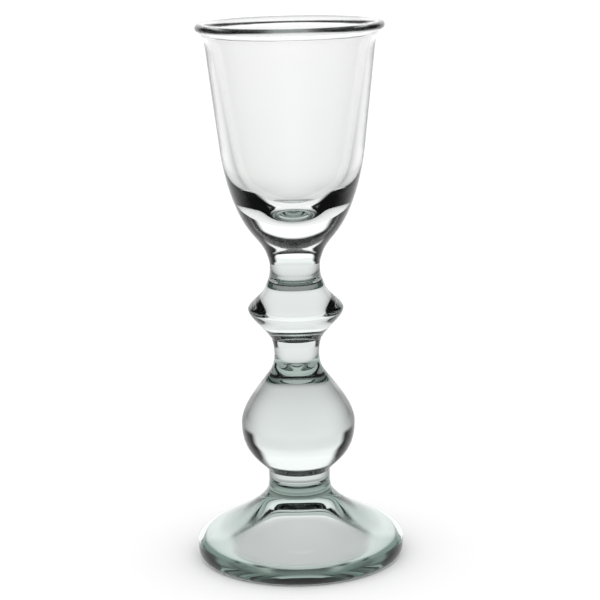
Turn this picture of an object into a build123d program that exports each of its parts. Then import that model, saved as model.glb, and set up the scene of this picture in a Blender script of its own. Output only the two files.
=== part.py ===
# A small stemmed glass for cordials: bowl, knopped stem and foot.
# Seven solid pieces of clear glass stand on each other, joined by flat welds.
# Millimetres, +Z up, origin at the middle of the face that it stands on.

from build123d import *

import os
from math import cos, radians, sin

# Foot, outside: a disc that climbs to the stem
foot_height = 16.5
foot_radius = 26.2
foot_edge_tuck = 2.8
foot_edge_low = 2.8
foot_edge_top = 4.7
foot_brim_slope = 60.0
foot_weld_radius = 8.6
foot_weld_slope = 54.0

# Foot, underneath: a round hollow inside the flat ring that the glass stands on
foot_rest_width = 1.6
foot_crown_wall = 4.5
foot_flank_radius = 8.0
foot_flank_drop = 3.0
foot_flank_slope = 44.0
foot_hollow_slope = 16.0

# Foot neck: the short column under the ball
foot_neck_waist_radius = 7.75
foot_neck_lower_height = 4.4
foot_neck_upper_height = 1.5
foot_neck_top_slope = 84.0

# Ball knop: round below, drawn up to a tapering shoulder
ball_base_weld_radius = 7.8
ball_base_slope = 58.0
ball_radius = 14.35
ball_lower_height = 12.2
ball_upper_height = 12.9
ball_top_weld_radius = 7.3
ball_top_slope = 51.0

# Middle neck, between the two knops
middle_neck_waist_radius = 5.65
middle_neck_lower_height = 5.1
middle_neck_upper_height = 3.9
middle_neck_top_slope = 73.0

# Angular knop: two flanks that meet in a blunt ridge
angular_base_weld_radius = 6.25
angular_base_slope = 59.0
angular_ridge_radius = 11.95
angular_lower_height = 7.65
angular_cove_radius = 8.2
angular_cove_slope = 51.0
angular_ridge_to_cove = 4.35
angular_cove_to_weld = 2.5
angular_top_weld_radius = 7.0
angular_top_slope = 65.0

# Upper neck, under the bowl
upper_neck_waist_radius = 6.25
upper_neck_lower_height = 4.0
upper_neck_upper_height = 3.0

# Bowl, outside
bowl_weld_radius = 6.95
bowl_weld_slope = 71.0
bowl_height = 57.0
bowl_cove_radius = 10.65
bowl_cove_height = 5.5
bowl_cove_slope = 52.0
bowl_belly_radius = 17.95
bowl_belly_height = 27.1
bowl_wall_top_radius = 20.1
bowl_wall_top_height = 46.0

# Lip: the wall bends out and ends in a round bead
lip_radius = 23.05
lip_bead_radius = 0.95
lip_slope = 24.0

# Bowl, inside: a straight wall above a rounded cone
cavity_floor_height = 9.8
cavity_flank_radius = 7.5
cavity_flank_rise = 2.5
cavity_flank_slope = 36.0
cavity_belly_height = 29.0
belly_wall = 2.5
rim_wall = 1.9

# How far the curves lean along their end directions, as a share of the span
even_lean = 0.36
short_lean = 0.2
long_lean = 0.58
round_lean = 0.5

# Directions in the profile plane, in degrees
outward = 0.0
up = 90.0
inward = 180.0


def at(radius, height):
    return Vector(radius, 0, height)


def heading(angle):
    return Vector(cos(radians(angle)), 0, sin(radians(angle)))


def flow(start, start_angle, end, end_angle, start_lean=even_lean, end_lean=even_lean):
    span = (end - start).length
    first_handle = start + heading(start_angle) * (span * start_lean)
    last_handle = end - heading(end_angle) * (span * end_lean)
    return Bezier(start, first_handle, last_handle, end)


def turned(outline):
    return revolve(make_face(outline), Axis.Z)


def make_neck(base, base_radius, base_slope, waist_radius, lower, upper, top_radius, top_slope):
    top = base + lower + upper
    foot_point = at(base_radius, base)
    waist = at(waist_radius, base + lower)
    head_point = at(top_radius, top)
    return turned([
        Line(at(0, base), foot_point),
        flow(foot_point, inward - base_slope, waist, up),
        flow(waist, up, head_point, top_slope),
        Line(head_point, at(0, top)),
        Line(at(0, top), at(0, base)),
    ])


def make_foot():
    rest_radius = foot_radius - foot_edge_tuck
    crown_height = foot_height - foot_crown_wall
    crown = at(0, crown_height)
    flank = at(foot_flank_radius, crown_height - foot_flank_drop)
    hollow_rim = at(rest_radius - foot_rest_width, 0)
    rest_rim = at(rest_radius, 0)
    edge_low = at(foot_radius, foot_edge_low)
    edge_top = at(foot_radius, foot_edge_top)
    weld = at(foot_weld_radius, foot_height)
    return turned([
        flow(crown, outward, flank, -foot_flank_slope, round_lean, even_lean),
        flow(flank, -foot_flank_slope, hollow_rim, -foot_hollow_slope),
        Line(hollow_rim, rest_rim),
        flow(rest_rim, outward, edge_low, up, long_lean, long_lean),
        Line(edge_low, edge_top),
        flow(edge_top, inward - foot_brim_slope, weld, inward - foot_weld_slope, short_lean, even_lean),
        Line(weld, at(0, foot_height)),
        Line(at(0, foot_height), crown),
    ])


def make_ball_knop(base):
    belly_height = base + ball_lower_height
    top = belly_height + ball_upper_height
    base_weld = at(ball_base_weld_radius, base)
    belly = at(ball_radius, belly_height)
    top_weld = at(ball_top_weld_radius, top)
    return turned([
        Line(at(0, base), base_weld),
        flow(base_weld, ball_base_slope, belly, up, short_lean, long_lean),
        flow(belly, up, top_weld, inward - ball_top_slope, short_lean, long_lean),
        Line(top_weld, at(0, top)),
        Line(at(0, top), at(0, base)),
    ])


def make_angular_knop(base):
    ridge_height = base + angular_lower_height
    cove_height = ridge_height + angular_ridge_to_cove
    top = cove_height + angular_cove_to_weld
    base_weld = at(angular_base_weld_radius, base)
    ridge = at(angular_ridge_radius, ridge_height)
    cove = at(angular_cove_radius, cove_height)
    top_weld = at(angular_top_weld_radius, top)
    return turned([
        Line(at(0, base), base_weld),
        flow(base_weld, angular_base_slope, ridge, up, even_lean, short_lean),
        flow(ridge, up, cove, inward - angular_cove_slope, short_lean, even_lean),
        flow(cove, inward - angular_cove_slope, top_weld, inward - angular_top_slope),
        Line(top_weld, at(0, top)),
        Line(at(0, top), at(0, base)),
    ])


def make_bowl(base):
    top = base + bowl_height
    weld = at(bowl_weld_radius, base)
    cove = at(bowl_cove_radius, base + bowl_cove_height)
    belly = at(bowl_belly_radius, base + bowl_belly_height)
    wall_top = at(bowl_wall_top_radius, base + bowl_wall_top_height)
    wall_rise = wall_top - belly
    wall_angle = up - Vector(0, 0, 1).get_angle(wall_rise)
    bead_middle = at(lip_radius - lip_bead_radius, top - lip_bead_radius)
    bead_under = bead_middle + heading(lip_slope - up) * lip_bead_radius
    bead_tip = bead_middle + heading(lip_slope) * lip_bead_radius
    bead_over = bead_middle + heading(lip_slope + up) * lip_bead_radius
    inner_top = wall_top - at(rim_wall, 0)
    inner_belly = at(bowl_belly_radius - belly_wall, base + cavity_belly_height)
    inner_rise = inner_top - inner_belly
    inner_angle = up - Vector(0, 0, 1).get_angle(inner_rise)
    floor_height = base + cavity_floor_height
    floor_middle = at(0, floor_height)
    flank = at(cavity_flank_radius, floor_height + cavity_flank_rise)
    return turned([
        Line(at(0, base), weld),
        flow(weld, bowl_weld_slope, cove, bowl_cove_slope),
        flow(cove, bowl_cove_slope, belly, wall_angle, even_lean, short_lean),
        Line(belly, wall_top),
        flow(wall_top, wall_angle, bead_under, lip_slope, long_lean, short_lean),
        ThreePointArc(bead_under, bead_tip, bead_over),
        flow(bead_over, inward + lip_slope, inner_top, inward + inner_angle, short_lean, long_lean),
        Line(inner_top, inner_belly),
        flow(inner_belly, inward + inner_angle, flank, inward + cavity_flank_slope, round_lean, even_lean),
        flow(flank, inward + cavity_flank_slope, floor_middle, inward),
        Line(floor_middle, at(0, base)),
    ])


foot_neck_base = foot_height
ball_base = foot_neck_base + foot_neck_lower_height + foot_neck_upper_height
middle_neck_base = ball_base + ball_lower_height + ball_upper_height
angular_base = middle_neck_base + middle_neck_lower_height + middle_neck_upper_height
angular_height = angular_lower_height + angular_ridge_to_cove + angular_cove_to_weld
upper_neck_base = angular_base + angular_height
bowl_base = upper_neck_base + upper_neck_lower_height + upper_neck_upper_height

pieces = {
    "foot": make_foot(),
    "foot_neck": make_neck(
        foot_neck_base, foot_weld_radius, foot_weld_slope, foot_neck_waist_radius,
        foot_neck_lower_height, foot_neck_upper_height, ball_base_weld_radius, foot_neck_top_slope,
    ),
    "ball_knop": make_ball_knop(ball_base),
    "middle_neck": make_neck(
        middle_neck_base, ball_top_weld_radius, ball_top_slope, middle_neck_waist_radius,
        middle_neck_lower_height, middle_neck_upper_height, angular_base_weld_radius, middle_neck_top_slope,
    ),
    "angular_knop": make_angular_knop(angular_base),
    "upper_neck": make_neck(
        upper_neck_base, angular_top_weld_radius, angular_top_slope, upper_neck_waist_radius,
        upper_neck_lower_height, upper_neck_upper_height, bowl_weld_radius, bowl_weld_slope,
    ),
    "bowl": make_bowl(bowl_base),
}

os.makedirs("parts", exist_ok=True)
for node, solid in pieces.items():
    export_step(solid, f"parts/{node}.step")
print(f"overall height {bowl_base + bowl_height:.2f} mm, foot {2 * foot_radius:.1f} mm, lip {2 * lip_radius:.1f} mm")
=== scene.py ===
from math import atan2, cos, degrees, pi, radians, sin, tan

import bpy
from mathutils import Matrix, Vector


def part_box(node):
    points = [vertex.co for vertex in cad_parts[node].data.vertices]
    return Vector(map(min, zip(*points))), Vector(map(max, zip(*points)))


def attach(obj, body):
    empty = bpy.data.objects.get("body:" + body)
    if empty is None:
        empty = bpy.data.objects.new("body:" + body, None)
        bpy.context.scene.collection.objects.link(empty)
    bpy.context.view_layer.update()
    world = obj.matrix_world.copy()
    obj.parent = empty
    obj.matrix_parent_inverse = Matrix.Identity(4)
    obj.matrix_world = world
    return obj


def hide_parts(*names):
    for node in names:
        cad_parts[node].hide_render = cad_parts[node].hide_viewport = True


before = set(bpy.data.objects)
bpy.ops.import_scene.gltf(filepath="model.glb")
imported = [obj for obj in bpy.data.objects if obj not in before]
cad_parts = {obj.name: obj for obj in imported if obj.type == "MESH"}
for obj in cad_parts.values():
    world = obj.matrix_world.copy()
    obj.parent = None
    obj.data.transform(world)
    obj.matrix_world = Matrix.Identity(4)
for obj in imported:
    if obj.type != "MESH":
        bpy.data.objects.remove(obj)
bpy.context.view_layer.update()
print("frame loaded:", ", ".join(sorted(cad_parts)))

mm = 0.001  # sizes below are written in millimetres times this
outward, up, inward = 0.0, 90.0, 180.0  # directions in the profile plane, in degrees
evenLean, shortLean, longLean, roundLean = 0.36, 0.2, 0.58, 0.5  # a curve's lean, as a share of its span


# A profile is a chain of curves in the XZ plane: start, its handle, the end's handle, end
def at(radius, height):
    return Vector((radius, 0, height))


def heading(angle):
    return at(cos(radians(angle)), sin(radians(angle)))


def straight(start, end):
    third = (end - start) / 3
    return [(start, start + third, end - third, end)]


def flow(start, startAngle, end, endAngle, startLean=evenLean, endLean=evenLean):
    span = (end - start).length
    lead = start + heading(startAngle) * span * startLean
    trail = end - heading(endAngle) * span * endLean
    return [(start, lead, trail, end)]


def quarters(middle, radius, startAngle, count):  # quarter circles, one after another
    chain = []
    lean = 4 / 3 * tan(radians(up / 4)) / 2 ** 0.5  # handle length over the chord
    for step in range(count):
        first = startAngle + step * up
        last = first + up
        start = middle + heading(first) * radius
        end = middle + heading(last) * radius
        chain += flow(start, first + up, end, last + up, lean, lean)
    return chain


# Each piece is drawn as an outline and turned on the Z axis, a hair apart from its neighbours at the welds
lathe = dict(curveSteps=24, turnSteps=192, mergeGap=1e-6, sharpAngle=28, weldGap=0.005 * mm)


def drawOutline(name, chain):
    bpy.ops.object.select_all(action="DESELECT")
    bpy.ops.curve.primitive_bezier_curve_add(location=(0, 0, 0))
    outline = bpy.context.object
    outline.name = name
    outline.data.dimensions = "3D"
    outline.data.resolution_u = lathe["curveSteps"]
    points = outline.data.splines[0].bezier_points
    points.add(len(chain) + 1 - len(points))
    for point in points:
        point.handle_left_type = point.handle_right_type = "FREE"
    for index, (start, lead, trail, end) in enumerate(chain):
        points[index].co = start
        points[index].handle_right = lead
        points[index + 1].handle_left = trail
        points[index + 1].co = end
    points[0].handle_left = points[0].co
    points[-1].handle_right = points[-1].co
    return outline


def spinOutline():
    bpy.ops.object.convert(target="MESH")
    bpy.ops.object.mode_set(mode="EDIT")
    bpy.ops.mesh.select_all(action="SELECT")
    bpy.ops.mesh.spin(steps=lathe["turnSteps"], angle=2 * pi, center=(0, 0, 0), axis=(0, 0, 1))
    bpy.ops.mesh.select_all(action="SELECT")
    bpy.ops.mesh.remove_doubles(threshold=lathe["mergeGap"])
    bpy.ops.mesh.normals_make_consistent(inside=False)
    bpy.ops.object.mode_set(mode="OBJECT")
    bpy.ops.object.shade_smooth_by_angle(angle=radians(lathe["sharpAngle"]))


def turnPiece(name, node, chain, welds, softness=None):
    piece = drawOutline(name, chain)
    spinOutline()
    mesh = piece.data
    mesh.name = name
    weld = mesh.attributes.new("weld", "FLOAT", "FACE")  # 1 on the faces where two pieces run together
    for face in mesh.polygons:
        onWeld = any(abs(face.center.z - height) < lathe["mergeGap"] for height in welds)
        weld.data[face.index].value = onWeld
    satin = mesh.attributes.new("satin", "FLOAT", "POINT")  # 1 where a tool has left the skin soft
    for point in mesh.vertices:
        satin.data[point.index].value = softness(point) if softness else 0.0
    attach(piece, "root")
    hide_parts(node)
    print(name, len(mesh.polygons), "faces")
    return piece


footShape = dict(
    edgeTuck=2.8 * mm, edgeLow=2.8 * mm, edgeTop=4.7 * mm, brimSlope=60, weldRadius=8.6 * mm, weldSlope=54,
    restWidth=1.6 * mm, crownWall=4.5 * mm, flankRadius=8 * mm, flankDrop=3 * mm, flankSlope=44,
    hollowSlope=16, satinFrom=7.5 * mm, satinTo=20 * mm, satinEase=2.5 * mm, satinFacing=-0.1,
)


def turnFoot():
    shape = footShape
    low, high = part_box("foot")
    top = high.z - lathe["weldGap"]
    restRadius = high.x - shape["edgeTuck"]
    crown = at(0, high.z - shape["crownWall"])
    flank = at(shape["flankRadius"], crown.z - shape["flankDrop"])
    hollowRim = at(restRadius - shape["restWidth"], low.z)
    restRim = at(restRadius, low.z)
    edgeLow = at(high.x, shape["edgeLow"])
    edgeTop = at(high.x, shape["edgeTop"])
    weld = at(shape["weldRadius"], top)
    chain = flow(crown, outward, flank, -shape["flankSlope"], roundLean, evenLean)
    chain += flow(flank, -shape["flankSlope"], hollowRim, -shape["hollowSlope"])
    chain += straight(hollowRim, restRim)
    chain += flow(restRim, outward, edgeLow, up, longLean, longLean)
    chain += straight(edgeLow, edgeTop)
    brimAngle = inward - shape["brimSlope"]
    chain += flow(edgeTop, brimAngle, weld, inward - shape["weldSlope"], shortLean, evenLean)
    chain += straight(weld, at(0, top))

    def softness(point):  # the paddled ring of the hollow, eased at both sides
        if point.normal.z > shape["satinFacing"] or point.co.z > crown.z + lathe["mergeGap"]:
            return 0.0
        radius = point.co.xy.length
        fromFlank = (radius - shape["satinFrom"]) / shape["satinEase"]
        fromRim = (shape["satinTo"] - radius) / shape["satinEase"]
        return max(0.0, min(1.0, fromFlank, fromRim))

    return turnPiece("foot_glass", "foot", chain, [top], softness)


ballShape = dict(baseRadius=7.8 * mm, baseSlope=58, bellyRise=12.2 * mm, topRadius=7.3 * mm, topSlope=51)


def turnBall():
    shape = ballShape
    low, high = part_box("ball_knop")
    base = low.z + lathe["weldGap"]
    top = high.z - lathe["weldGap"]
    baseWeld = at(shape["baseRadius"], base)
    belly = at(high.x, low.z + shape["bellyRise"])
    topWeld = at(shape["topRadius"], top)
    chain = straight(at(0, base), baseWeld)
    chain += flow(baseWeld, shape["baseSlope"], belly, up, shortLean, longLean)
    chain += flow(belly, up, topWeld, inward - shape["topSlope"], shortLean, longLean)
    chain += straight(topWeld, at(0, top))
    return turnPiece("ball_knop_glass", "ball_knop", chain, [base, top])


angularShape = dict(
    baseRadius=6.25 * mm, baseSlope=59, ridgeRise=7.65 * mm,
    coveRadius=8.2 * mm, coveSlope=51, coveRise=4.35 * mm, topRadius=7 * mm, topSlope=65,
)


def turnAngularKnop():
    shape = angularShape
    low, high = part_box("angular_knop")
    base = low.z + lathe["weldGap"]
    top = high.z - lathe["weldGap"]
    baseWeld = at(shape["baseRadius"], base)
    ridge = at(high.x, low.z + shape["ridgeRise"])
    cove = at(shape["coveRadius"], ridge.z + shape["coveRise"])
    topWeld = at(shape["topRadius"], top)
    chain = straight(at(0, base), baseWeld)
    chain += flow(baseWeld, shape["baseSlope"], ridge, up, evenLean, shortLean)
    chain += flow(ridge, up, cove, inward - shape["coveSlope"], shortLean, evenLean)
    chain += flow(cove, inward - shape["coveSlope"], topWeld, inward - shape["topSlope"])
    chain += straight(topWeld, at(0, top))
    return turnPiece("angular_knop_glass", "angular_knop", chain, [base, top])


bowlShape = dict(
    weldRadius=6.95 * mm, weldSlope=71, coveRadius=10.65 * mm, coveRise=5.5 * mm, coveSlope=52,
    bellyRadius=17.95 * mm, bellyRise=27.1 * mm, wallTopRadius=20.1 * mm, wallTopRise=46 * mm,
    beadRadius=0.95 * mm, beadQuarters=2, lipSlope=24,
    floorRise=9.8 * mm, flankRadius=7.5 * mm, flankRise=2.5 * mm, flankSlope=36,
    innerBellyRise=29 * mm, bellyWall=2.5 * mm, rimWall=1.9 * mm,
)


def turnBowl():
    shape = bowlShape
    low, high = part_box("bowl")
    base = low.z + lathe["weldGap"]
    weld = at(shape["weldRadius"], base)
    cove = at(shape["coveRadius"], low.z + shape["coveRise"])
    belly = at(shape["bellyRadius"], low.z + shape["bellyRise"])
    wallTop = at(shape["wallTopRadius"], low.z + shape["wallTopRise"])
    wallAngle = degrees(atan2(wallTop.z - belly.z, wallTop.x - belly.x))
    beadMiddle = at(high.x - shape["beadRadius"], high.z - shape["beadRadius"])
    beadUnder = beadMiddle + heading(shape["lipSlope"] - up) * shape["beadRadius"]
    beadOver = beadMiddle + heading(shape["lipSlope"] + up) * shape["beadRadius"]
    innerTop = wallTop - at(shape["rimWall"], 0)
    innerBelly = at(shape["bellyRadius"] - shape["bellyWall"], low.z + shape["innerBellyRise"])
    innerAngle = degrees(atan2(innerTop.z - innerBelly.z, innerTop.x - innerBelly.x))
    floorMiddle = at(0, low.z + shape["floorRise"])
    flank = at(shape["flankRadius"], floorMiddle.z + shape["flankRise"])
    chain = straight(at(0, base), weld)
    chain += flow(weld, shape["weldSlope"], cove, shape["coveSlope"])
    chain += flow(cove, shape["coveSlope"], belly, wallAngle, evenLean, shortLean)
    chain += straight(belly, wallTop)
    chain += flow(wallTop, wallAngle, beadUnder, shape["lipSlope"], longLean, shortLean)
    chain += quarters(beadMiddle, shape["beadRadius"], shape["lipSlope"] - up, shape["beadQuarters"])
    chain += flow(beadOver, inward + shape["lipSlope"], innerTop, inward + innerAngle, shortLean, longLean)
    chain += straight(innerTop, innerBelly)
    chain += flow(innerBelly, inward + innerAngle, flank, inward + shape["flankSlope"], roundLean, evenLean)
    chain += flow(flank, inward + shape["flankSlope"], floorMiddle, inward)
    return turnPiece("bowl_glass", "bowl", chain, [base])


# A neck meets the pieces below and above it at their own radii and slopes
footNeckShape = dict(
    baseRadius=footShape["weldRadius"], baseSlope=footShape["weldSlope"],
    waistRadius=7.75 * mm, waistRise=4.4 * mm, topRadius=ballShape["baseRadius"], topSlope=84,
)
middleNeckShape = dict(
    baseRadius=ballShape["topRadius"], baseSlope=ballShape["topSlope"],
    waistRadius=5.65 * mm, waistRise=5.1 * mm, topRadius=angularShape["baseRadius"], topSlope=73,
)
upperNeckShape = dict(
    baseRadius=angularShape["topRadius"], baseSlope=angularShape["topSlope"],
    waistRadius=6.25 * mm, waistRise=4 * mm,
    topRadius=bowlShape["weldRadius"], topSlope=bowlShape["weldSlope"],
)


def turnNeck(name, node, shape):
    low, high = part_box(node)
    base = low.z + lathe["weldGap"]
    top = high.z - lathe["weldGap"]
    baseWeld = at(shape["baseRadius"], base)
    waist = at(shape["waistRadius"], low.z + shape["waistRise"])
    topWeld = at(shape["topRadius"], top)
    chain = straight(at(0, base), baseWeld)
    chain += flow(baseWeld, inward - shape["baseSlope"], waist, up)
    chain += flow(waist, up, topWeld, shape["topSlope"])
    chain += straight(topWeld, at(0, top))
    return turnPiece(name, node, chain, [base, top])


pieces = [  # from the table up
    turnFoot(),
    turnNeck("foot_neck_glass", "foot_neck", footNeckShape),
    turnBall(),
    turnNeck("middle_neck_glass", "middle_neck", middleNeckShape),
    turnAngularKnop(),
    turnNeck("upper_neck_glass", "upper_neck", upperNeckShape),
    turnBowl(),
]
print("glass turned:", len(pieces), "pieces")


def setStops(elements, stops):
    while len(elements) < len(stops):
        elements.new(1.0)
    for element, (place, grey) in zip(elements, stops):
        element.position = place
        element.color = (grey, grey, grey, 1)


# Shader sums: a Wire is a socket, + - * on it add Math nodes, and its add method makes any other node
class Wire:
    def __init__(self, tree, socket=None):
        self.tree = tree
        self.socket = socket

    def add(self, kind, settings=None, sockets=(), output=0):
        node = self.tree.nodes.new(kind)
        for setting, value in (settings or {}).items():
            if setting == "stops":
                setStops(node.color_ramp.elements, value)
            elif setting == "blend":
                node.color_ramp.interpolation = value
            else:
                setattr(node, setting, value)
        named = sockets.items() if isinstance(sockets, dict) else enumerate(sockets)
        for key, value in named:
            if isinstance(value, Wire):
                self.tree.links.new(value.socket, node.inputs[key])
            else:
                node.inputs[key].default_value = value
        return Wire(self.tree, node.outputs[output]) if node.outputs else None

    def beside(self, output):  # another output of the same node
        return Wire(self.tree, self.socket.node.outputs[output])

    def maths(self, operation, *values):
        return self.add("ShaderNodeMath", dict(operation=operation), values)

    def __add__(self, other):
        return self.maths("ADD", self, other)

    def __radd__(self, other):
        return self.maths("ADD", other, self)

    def __sub__(self, other):
        return self.maths("SUBTRACT", self, other)

    def __rsub__(self, other):
        return self.maths("SUBTRACT", other, self)

    def __mul__(self, other):
        return self.maths("MULTIPLY", self, other)

    def __rmul__(self, other):
        return self.maths("MULTIPLY", other, self)


def newMaterial(name):
    material = bpy.data.materials.new(name)
    material.use_nodes = True
    material.node_tree.nodes.clear()
    return material, Wire(material.node_tree)


def ramp(value, low, high, start=0.0, end=1.0):  # eases from start to end while value goes from low to high
    sockets = {"Value": value, "From Min": low, "From Max": high, "To Min": start, "To Max": end}
    return value.add("ShaderNodeMapRange", dict(interpolation_type="SMOOTHSTEP"), sockets)


def steps(value, stops, blend="LINEAR"):  # runs between (value, result) stops
    first, last = stops[0][0], stops[-1][0]
    most = max(result for place, result in stops)
    share = value.add("ShaderNodeMapRange", None, {"Value": value, "From Min": first, "From Max": last})
    greys = [((place - first) / (last - first), result / most) for place, result in stops]
    return value.add("ShaderNodeValToRGB", dict(stops=greys, blend=blend), [share]) * most


def noise(place, scale, detail):
    return place.add("ShaderNodeTexNoise", None, {"Vector": place, "Scale": scale, "Detail": detail})


noiseMiddle = 0.5  # noise lies evenly about this
clearGlass = dict(
    ior=1.52, depthTint=(0.895, 0.914, 0.907, 1),
    tintScale=35, tintDetail=2, tintDrift=0.3, tintFrom=90 * mm, tintTo=132 * mm,
    waveScale=90, waveDetail=1, waveHeight=0.008 * mm, satinRoughness=0.15,
    rimFrom=131.5 * mm, rimTo=133.6 * mm, rimRoughness=0.17, rimScale=240, rimDetail=1, rimHeight=0.07 * mm,
    scuffTo=0.6 * mm, scuffScale=1500, scuffDetail=3, scuffSpread=(0.45, 0.7), scuffRoughness=0.06,
)
stemTone = dict(deep=(0.985, 0.995, 0.99, 1), pale=(0.995, 0.998, 0.996, 1))
tones = dict(
    bowl=dict(density=25, deep=(0.985, 0.993, 0.988, 1), pale=(1, 1, 1, 1)),  # paler towards the lip
    knop=dict(density=100, **stemTone),
    neck=dict(density=190, **stemTone),  # thin pieces show their colour more
    foot=dict(density=310, **stemTone),
)


def makeClearGlass(name, tone):
    finish = clearGlass
    material, tree = newMaterial(name)
    place = tree.add("ShaderNodeTexCoord", output="Object")
    height = tree.add("ShaderNodeSeparateXYZ", None, [place], "Z")
    weld = tree.add("ShaderNodeAttribute", dict(attribute_name="weld"), output="Fac")
    satin = tree.add("ShaderNodeAttribute", dict(attribute_name="satin"), output="Fac")
    onRim = ramp(height, finish["rimFrom"], finish["rimTo"])  # the lip, dulled by use
    onRest = ramp(height, 0.0, finish["scuffTo"], 1.0, 0.0)  # the ring it stands on, scuffed
    scratches = noise(place, finish["scuffScale"], finish["scuffDetail"])
    scuffs = ramp(scratches, *finish["scuffSpread"]) * onRest
    dulled = satin * finish["satinRoughness"] + onRim * finish["rimRoughness"]
    waves = noise(place, finish["waveScale"], finish["waveDetail"]) * finish["waveHeight"]
    waves = waves + noise(place, finish["rimScale"], finish["rimDetail"]) * onRim * finish["rimHeight"]
    skin = tree.add("ShaderNodeBump", None, {"Strength": 1.0, "Distance": 1.0, "Height": waves})
    drift = noise(place, finish["tintScale"], finish["tintDetail"]) - noiseMiddle
    paleness = ramp(height, finish["tintFrom"], finish["tintTo"]) + drift * finish["tintDrift"]
    colours = {0: paleness, 6: tone["deep"], 7: tone["pale"]}  # the Mix node's factor and its two colours
    tint = tree.add("ShaderNodeMix", dict(data_type="RGBA"), colours, 2)  # output 2 is the mixed colour
    surface = tree.add("ShaderNodeBsdfPrincipled", None, {
        "Base Color": tint,
        "Roughness": dulled + scuffs * finish["scuffRoughness"],
        "IOR": finish["ior"],
        "Transmission Weight": 1.0,
        "Alpha": 1 - weld,
        "Normal": skin,
    })
    absorption = {"Color": finish["depthTint"], "Density": tone["density"]}
    depth = tree.add("ShaderNodeVolumeAbsorption", None, absorption)
    tree.add("ShaderNodeOutputMaterial", None, {"Surface": surface, "Volume": depth})
    return material


glasses = {part: makeClearGlass("clear_glass_" + part, tone) for part, tone in tones.items()}
for piece in pieces:
    part = next(part for part in tones if part in piece.name)  # foot is last, so its neck is a neck
    piece.data.materials.clear()
    piece.data.materials.append(glasses[part])
print("glass finished")


camera = dict(place=(1.1 * mm, -464 * mm, 169 * mm), dip=12.51, roll=1.25, lens=114.15, sensor=36)


def makeCamera():
    bpy.ops.object.camera_add(location=camera["place"])
    shot = bpy.context.object
    tilt = Matrix.Rotation(radians(up - camera["dip"]), 4, "X")
    roll = Matrix.Rotation(radians(-camera["roll"]), 4, "Z")
    shot.rotation_euler = (tilt @ roll).to_euler()
    shot.data.lens = camera["lens"]
    shot.data.sensor_width = camera["sensor"]
    bpy.context.scene.camera = shot
    return shot


# The studio, by angle in degrees: a bright backdrop behind the glass, a pale ground, dark sides and front
studio = dict(
    radius=3.0, segments=64, rings=32, middle=60 * mm, darkGlow=0.005, fillGlow=1.2,
    backdropEdge=(29, 40), lowWidening=7, lowHeight=(6, 15), horizon=(-5, 0),
    backdropGlow=[(-5, 1.05), (0, 1.03), (5, 1.06), (10, 1.22), (16, 1.32), (33, 1.35), (37, 0)],
    groundGlow=[
        (-90, 0.55), (-60, 0.62), (-46, 0.78), (-37, 0.85), (-30, 0.95),
        (-24, 1.0), (-18, 1.04), (-12, 1.05), (-6, 1.1), (0, 1.04),
    ],
    groundFall=[(0, 0.99), (20, 1.0), (30, 0.95), (40, 0.82), (50, 0.62), (60, 0.42), (75, 0.12), (90, 0)],
    frontEdge=(115, 178), frontGlow=[(-90, 0.4), (-25, 0.4), (-10, 0.02), (90, 0.02)],
)


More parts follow.
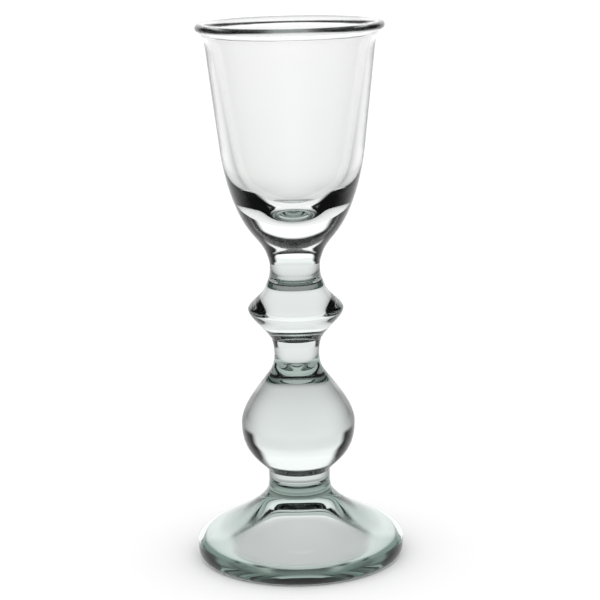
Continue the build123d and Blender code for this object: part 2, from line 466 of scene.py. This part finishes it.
def makeDome(shot):
    bpy.ops.object.select_all(action="DESELECT")
    bpy.ops.mesh.primitive_uv_sphere_add(
        segments=studio["segments"], ring_count=studio["rings"], radius=studio["radius"],
        location=(0, 0, studio["middle"]),
    )
    dome = bpy.context.object
    dome.name = "studio_dome"
    material, tree = newMaterial("studio_light")
    place = tree.add("ShaderNodeTexCoord", output="Object")
    direction = tree.add("ShaderNodeVectorMath", dict(operation="NORMALIZE"), [place])
    x = tree.add("ShaderNodeSeparateXYZ", None, [direction], "X")
    aside = tree.maths("ABSOLUTE", x)
    wide = tree.maths("ARCTAN2", aside, x.beside("Y")) * degrees(1)  # 0 behind the glass, 180 in front
    high = tree.maths("ARCSINE", x.beside("Z")) * degrees(1)
    above = ramp(high, *studio["horizon"])
    widening = ramp(high, *studio["lowHeight"], studio["lowWidening"], 0.0)  # wider low down
    inBackdrop = ramp(wide - widening, *studio["backdropEdge"], 1.0, 0.0)
    backdrop = steps(high, studio["backdropGlow"]) * inBackdrop
    ground = steps(high, studio["groundGlow"], "B_SPLINE") * steps(wide, studio["groundFall"], "B_SPLINE")
    front = steps(high, studio["frontGlow"]) * ramp(wide, *studio["frontEdge"])
    seen = backdrop * above + ground * (1 - above) + front + studio["darkGlow"]
    onCamera = tree.add("ShaderNodeLightPath", output="Is Camera Ray")
    onFloor = onCamera.beside("Is Diffuse Ray")
    glow = seen * (1 - onCamera) * (1 - onFloor) + onCamera + onFloor * studio["fillGlow"]
    light = tree.add("ShaderNodeEmission", None, {"Color": (1, 1, 1, 1), "Strength": glow})
    tree.add("ShaderNodeOutputMaterial", None, {"Surface": light})
    material.cycles.emission_sampling = "NONE"
    dome.data.materials.append(material)
    dome.parent = shot  # the light stays behind the glass in every view, as round a turntable
    bpy.context.view_layer.update()
    dome.matrix_parent_inverse = shot.matrix_world.inverted()


# The floor is white paper with a shadow, and seen in the glass it glows by its distance from the axis in
# mm, with painted shade under the foot, a painted bright ring at its edge and a painted shadow ring just
# outside it
floorShape = dict(
    size=5.0, colour=(0.92, 0.92, 0.92, 1), fade=(38, 52),
    # glow: painted shade and light on the floor round the foot, seen only in the glass
    glow=[(0, 0.82), (12, 0.8), (18, 0.93), (21, 1.15), (24, 1.3), (26, 0.9), (33, 0.42), (52, 0.8)],
)


def makeFloor():
    bpy.ops.object.select_all(action="DESELECT")
    bpy.ops.mesh.primitive_plane_add(size=floorShape["size"], location=(0, 0, 0))
    floor = bpy.context.object
    floor.name = "studio_floor"
    material, tree = newMaterial("studio_floor")
    place = tree.add("ShaderNodeTexCoord", output="Object")
    away = tree.add("ShaderNodeVectorMath", dict(operation="LENGTH"), [place], "Value") * (1 / mm)
    # painted shadow and light round the foot, where the glass sees the floor
    paintedFloorShade = steps(away, floorShape["glow"])
    fade = ramp(away, *floorShape["fade"])  # further out the dome's ground takes over
    refracted = tree.add("ShaderNodeLightPath", output="Is Transmission Ray")
    inGlass = refracted + refracted.beside("Is Glossy Ray")
    paper = tree.add("ShaderNodeBsdfDiffuse", None, {"Color": floorShape["colour"]})
    glow = tree.add("ShaderNodeEmission", None, {"Color": (1, 1, 1, 1), "Strength": paintedFloorShade})
    clear = tree.add("ShaderNodeBsdfTransparent")
    reflected = tree.add("ShaderNodeMixShader", None, [fade, glow, clear])
    seen = tree.add("ShaderNodeMixShader", None, [inGlass, paper, reflected])
    tree.add("ShaderNodeOutputMaterial", None, {"Surface": seen})
    material.cycles.emission_sampling = "NONE"
    floor.data.materials.append(material)


lightPaths = dict(
    max_bounces=32, transmission_bounces=32, glossy_bounces=16, transparent_max_bounces=48,
    min_light_bounces=32, min_transparent_bounces=48,  # long paths in the stem are followed to their end
)


def setView():
    scene = bpy.context.scene
    scene.view_settings.view_transform = "Standard"
    for limit, count in lightPaths.items():
        setattr(scene.cycles, limit, count)


makeDome(makeCamera())
makeFloor()
setView()
print("studio lit")
